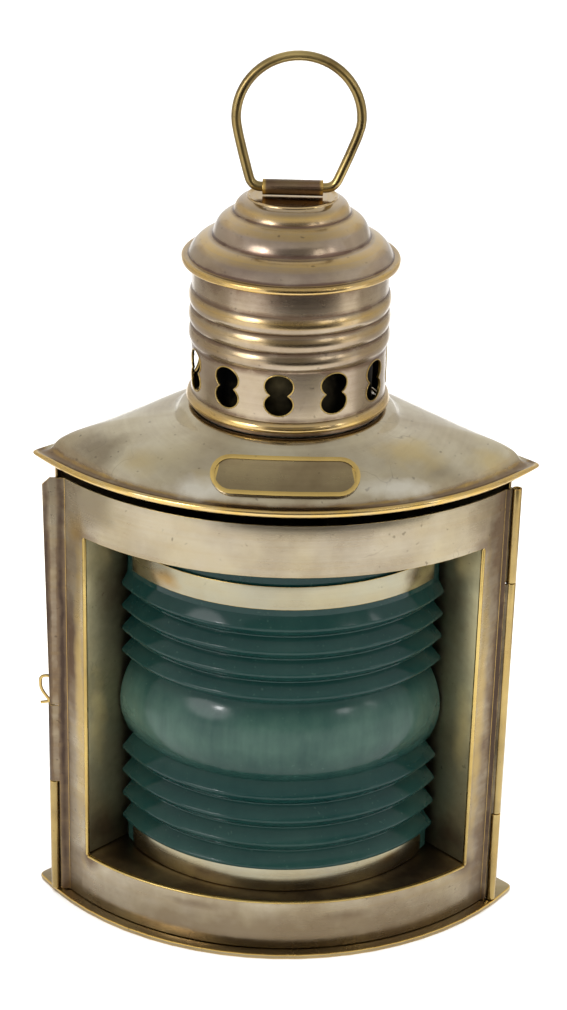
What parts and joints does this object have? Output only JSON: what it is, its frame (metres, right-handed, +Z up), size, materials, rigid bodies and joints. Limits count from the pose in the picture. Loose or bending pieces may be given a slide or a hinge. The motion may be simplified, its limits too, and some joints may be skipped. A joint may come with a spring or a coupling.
{
  "type": "starboard navigation lamp",
  "caption": "Brass oil-burning starboard side lamp: sector-shaped case, bowed door with a ribbed green lens, vented chimney, stepped cap and a swinging wire handle.",
  "frame": {"origin": "on the underside of the base plate, below the common axis of burner, chimney and vent cap", "axes": "+Z up along the chimney; -Y to the front, where the lens faces; +X to the right as seen from the front, where the door's hinge is; +Y to the back corner of the case"},
  "size_m": [0.142, 0.1095, 0.2541],
  "materials": {
    "aged_brass": "satin",
    "bright_brass": "satin",
    "dark_brass": "satin",
    "lens_glass": "gloss",
    "clear_glass": "gloss",
    "cotton": "matte"
  },
  "bodies": {
    "casing": {"base_plate": "aged_brass", "rear_casing": "aged_brass", "base_curb": "dark_brass", "hinge_tube_lower": "bright_brass", "hinge_tube_upper": "bright_brass", "hinge_pin": "dark_brass", "latch_tube": "bright_brass", "roof": "aged_brass", "name_plate": "aged_brass", "chimney": "aged_brass", "vent_cap": "aged_brass", "handle_barrel": "dark_brass", "fount_ring": "dark_brass"},
    "door": {"door_panel": "aged_brass", "door_hinge_tube": "bright_brass", "jamb_left": "aged_brass", "jamb_right": "aged_brass", "sill_plate": "dark_brass", "head_plate": "dark_brass", "lower_band": "aged_brass", "upper_band": "aged_brass", "lens": "lens_glass"},
    "latch_pin": {"latch_pin": "bright_brass"},
    "handle": {"handle": "bright_brass"},
    "fount": {"fount_body": "bright_brass", "fount_top": "bright_brass", "burner_base": "bright_brass", "wick_tube": "bright_brass", "burner_gallery": "bright_brass", "flame_deflector": "bright_brass"},
    "wick": {"wick": "cotton"},
    "wick_spindle": {"wick_spindle": "bright_brass", "wick_knob": "bright_brass"},
    "chimney_glass": {"chimney_glass": "clear_glass"}
  },
  "joints": [
    {"name": "door_swing", "type": "hinge", "parent": "casing", "child": "door", "pos_m": [0.0645, -0.01364, 0.07], "axis": [0, 0, 1], "range_deg": [0, 220]},
    {"name": "latch_pin_lift", "type": "slide", "parent": "casing", "child": "latch_pin", "axis": [0, 0, 1], "range_m": [0, 0.045]},
    {"name": "handle_swing", "type": "hinge", "parent": "casing", "child": "handle", "pos_m": [0, 0, 0.21655], "axis": [1, 0, 0], "range_deg": [-95, 95]},
    {"name": "fount_lift", "type": "slide", "parent": "casing", "child": "fount", "axis": [0, 0, 1], "range_m": [0, 0.01]},
    {"name": "glass_lift", "type": "slide", "parent": "fount", "child": "chimney_glass", "axis": [0, 0, 1], "range_m": [0, 0.012]},
    {"name": "wick_turn", "type": "hinge", "parent": "fount", "child": "wick_spindle", "pos_m": [0, -0.0044, 0.03535], "axis": [1, 0, 0], "range_deg": [-105, 160]},
    {"name": "wick_feed", "type": "slide", "parent": "fount", "child": "wick", "axis": [0, 0, 1], "range_m": [-0.006, 0.009]}
  ],
  "couplings": [
    {"joint": "wick_feed", "follows": "wick_turn", "m_per_rad": 0.0032}
  ]
}
